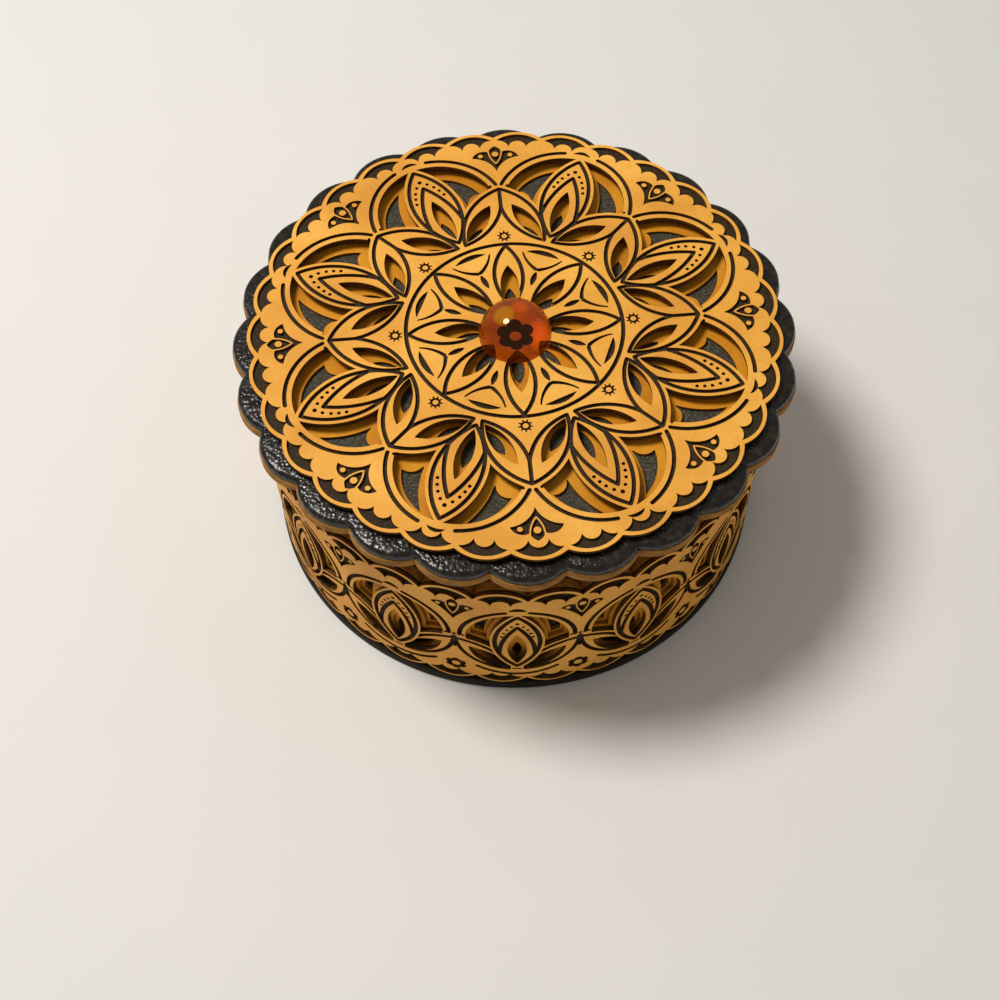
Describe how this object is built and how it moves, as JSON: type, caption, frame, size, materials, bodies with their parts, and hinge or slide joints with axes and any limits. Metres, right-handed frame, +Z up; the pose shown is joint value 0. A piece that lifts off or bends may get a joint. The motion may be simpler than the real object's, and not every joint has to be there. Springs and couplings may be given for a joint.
{
  "type": "trinket box",
  "caption": "Round keepsake box of layered card with pierced gold filigree walls and a scalloped lift-off lid topped by a domed amber stone.",
  "frame": {"origin": "centre of the underside of the base board", "axes": "+Z up along the drum's axis, the way the lid lifts off; -Y is the front, where one of the rosette's trefoils points"},
  "size_m": [0.0964, 0.0964, 0.0535],
  "materials": {
    "gold_card": "smooth golden card, matt with a faint fibre",
    "deep_gold_card": "smooth darker golden card, matt",
    "brown_board": "golden board with brown cut edges",
    "black_card": "matt black card",
    "black_board": "black board, pebbled and slightly glossy",
    "amber_stone": "clear amber acrylic, polished dome"
  },
  "bodies": {
    "box": {"base_board": "black_board", "floor_card": "black_card", "drum": "black_board", "wall_deep_layer": "deep_gold_card", "wall_middle_layer": "deep_gold_card", "wall_backing": "black_card", "wall_front": "gold_card"},
    "lid": {"lid_under_board": "brown_board", "lid_board": "black_board", "lid_ring": "black_card", "lid_lining": "black_card", "lid_floor_card": "black_card", "lid_deep_layer": "deep_gold_card", "lid_middle_layer": "deep_gold_card", "lid_backing": "black_card", "lid_front": "gold_card", "gem": "amber_stone"}
  },
  "joints": [
    {"name": "lid_lift", "type": "slide", "parent": "box", "child": "lid", "axis": [0, 0, 1], "range_m": [0, 0.06]}
  ]
}
